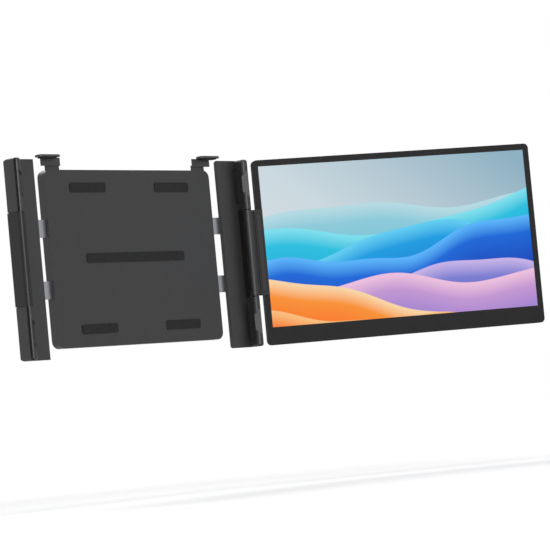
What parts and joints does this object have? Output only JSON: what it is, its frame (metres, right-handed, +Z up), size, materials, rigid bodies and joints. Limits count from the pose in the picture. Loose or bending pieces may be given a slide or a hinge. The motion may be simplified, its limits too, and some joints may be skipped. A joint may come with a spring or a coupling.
{
  "type": "laptop screen extender",
  "caption": "Side monitor hinged on a slim frame that grips a laptop's lid with sliding columns and top hooks; a kickstand folds into its back.",
  "frame": {"origin": "middle of the face that the back of the laptop's lid rests on", "axes": "+X along the lid's width towards the monitor, +Y to the back of the lid, +Z up the lid"},
  "size_m": [0.6273, 0.1808, 0.2051],
  "materials": {
    "shell_plastic": "fine matte texture",
    "middle_plastic": "fine matte texture",
    "washer_plastic": "smooth, self-lubricating",
    "hook_plastic": "matte",
    "bezel_plastic": "smooth matte",
    "cover_plastic": "fine matte texture",
    "button_plastic": "satin",
    "rubber": "matte",
    "slip_plastic": "smooth",
    "steel": "plated",
    "black_steel": "black powder coat",
    "brass": "machined",
    "screw_steel": "blackened",
    "leg_aluminium": "dark anodised",
    "screen_glass": "anti-glare film over the lit panel",
    "sheet_plastic": "clear",
    "lamp_plastic": "satin",
    "board": "solder mask",
    "chip_plastic": "matte"
  },
  "bodies": {
    "frame": {"front_shell": "shell_plastic", "rear_shell": "shell_plastic", "housing_screws": "screw_steel", "lid_pads": "rubber", "rail_guides": "slip_plastic", "hook_guides": "slip_plastic", "pinion_axle": "steel", "kickstand_pin": "steel"},
    "pinion": {"pinion": "brass"},
    "right_arm": {"right_column": "shell_plastic", "right_middle_cover": "middle_plastic", "right_grip_pads": "rubber", "right_rails": "steel", "right_rack": "slip_plastic", "right_arm_screws": "screw_steel", "upper_hinge_pin": "steel", "lower_hinge_pin": "steel", "hinge_washers": "washer_plastic"},
    "left_arm": {"left_column": "shell_plastic", "left_middle_cover": "middle_plastic", "left_grip_pads": "rubber", "left_rails": "steel", "left_rack": "slip_plastic", "left_arm_screws": "screw_steel"},
    "right_hook": {"right_hook_stem": "black_steel", "right_hook_cap": "hook_plastic", "right_hook_pad": "rubber"},
    "left_hook": {"left_hook_stem": "black_steel", "left_hook_cap": "hook_plastic", "left_hook_pad": "rubber"},
    "kickstand": {"kickstand_leg": "leg_aluminium", "kickstand_foot": "rubber"},
    "monitor": {"hinge_knuckle": "shell_plastic", "leaf_cover": "shell_plastic", "leaf_screws": "screw_steel", "hinge_bracket": "steel", "bracket_screws": "screw_steel", "front_bezel": "bezel_plastic", "rear_cover": "cover_plastic", "rear_screws": "screw_steel", "rear_pads": "rubber", "lcd_panel": "screen_glass", "optical_sheets": "sheet_plastic", "light_guide": "sheet_plastic", "led_strip": "lamp_plastic", "panel_tray": "steel", "driver_board": "board", "board_chips": "chip_plastic", "usb_sockets": "steel", "hdmi_socket": "steel", "speakers": "chip_plastic", "button_switches": "chip_plastic"},
    "power_button": {"power_button": "button_plastic"},
    "down_button": {"down_button": "button_plastic"},
    "up_button": {"up_button": "button_plastic"}
  },
  "joints": [
    {"name": "right_arm_slide", "type": "slide", "parent": "frame", "child": "right_arm", "axis": [1, 0, 0], "range_m": [-0.01, 0.036]},
    {"name": "left_arm_slide", "type": "slide", "parent": "frame", "child": "left_arm", "axis": [-1, 0, 0], "range_m": [-0.01, 0.036]},
    {"name": "pinion_spin", "type": "hinge", "parent": "frame", "child": "pinion", "pos_m": [0, 0.00585, 0], "axis": [0, 1, 0], "range_deg": [-66, 237]},
    {"name": "right_hook_slide", "type": "slide", "parent": "frame", "child": "right_hook", "axis": [0, 0, 1], "range_m": [-0.0012, 0.025]},
    {"name": "left_hook_slide", "type": "slide", "parent": "frame", "child": "left_hook", "axis": [0, 0, 1], "range_m": [-0.0012, 0.025]},
    {"name": "kickstand_fold", "type": "hinge", "parent": "frame", "child": "kickstand", "pos_m": [0, 0.0107, -0.008], "axis": [1, 0, 0], "range_deg": [0, 55]},
    {"name": "monitor_hinge", "type": "hinge", "parent": "right_arm", "child": "monitor", "pos_m": [0.1627, -0.0088, 0], "axis": [0, 0, -1], "range_deg": [-59.4, 150.6]},
    {"name": "power_button_press", "type": "slide", "parent": "monitor", "child": "power_button", "axis": [-0.8712, 0.4909, 0], "range_m": [0, 0.0004], "stiffness_N_per_m": 400},
    {"name": "down_button_press", "type": "slide", "parent": "monitor", "child": "down_button", "axis": [-0.8712, 0.4909, 0], "range_m": [0, 0.0004], "stiffness_N_per_m": 400},
    {"name": "up_button_press", "type": "slide", "parent": "monitor", "child": "up_button", "axis": [-0.8712, 0.4909, 0], "range_m": [0, 0.0004], "stiffness_N_per_m": 400}
  ],
  "couplings": [
    {"joint": "left_arm_slide", "follows": "right_arm_slide", "ratio": 1},
    {"joint": "pinion_spin", "follows": "right_arm_slide", "rad_per_m": 114.29}
  ]
}
